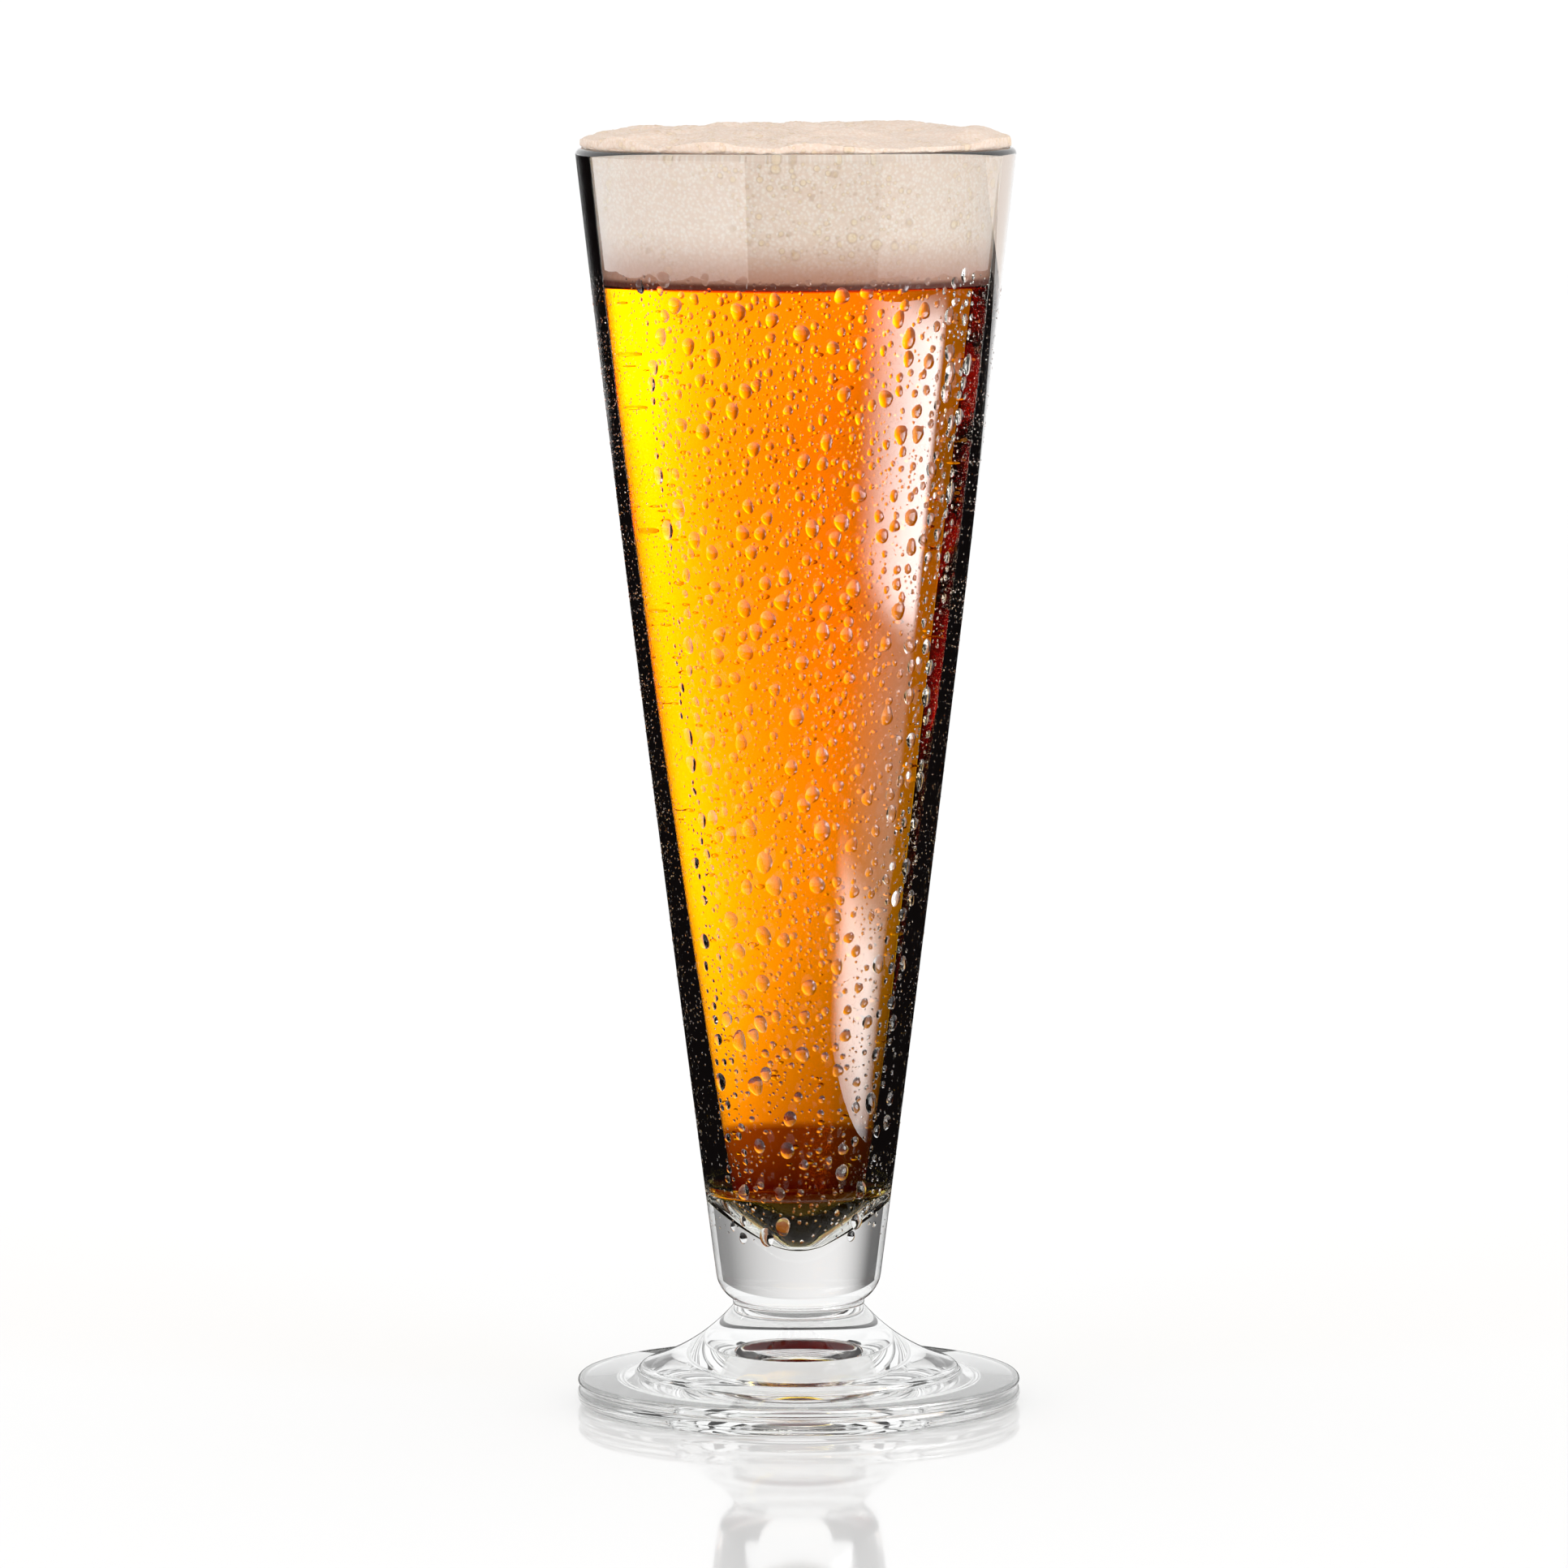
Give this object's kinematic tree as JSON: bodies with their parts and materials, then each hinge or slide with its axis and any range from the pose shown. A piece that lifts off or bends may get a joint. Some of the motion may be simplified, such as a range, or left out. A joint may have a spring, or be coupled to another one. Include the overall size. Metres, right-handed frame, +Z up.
{
  "type": "pilsner glass",
  "caption": "Tall footed pilsner glass: a slim conical bowl on a bell-shaped foot, filled with golden lager under a foam head, with dew on the outside.",
  "frame": {"origin": "middle of the foot, on the surface that the glass stands on", "axes": "+Z up along the glass's axis; X and Y are free because the glass is round"},
  "size_m": [0.076, 0.076, 0.2202],
  "materials": {
    "clear_glass": "polished",
    "lager": "clear liquid",
    "froth": "fine bubbles",
    "water": "clear liquid"
  },
  "bodies": {
    "root": {"foot": "clear_glass", "merese": "clear_glass", "bowl": "clear_glass", "beer": "lager", "foam_head": "froth", "dew_drops": "water"}
  },
  "joints": []
}
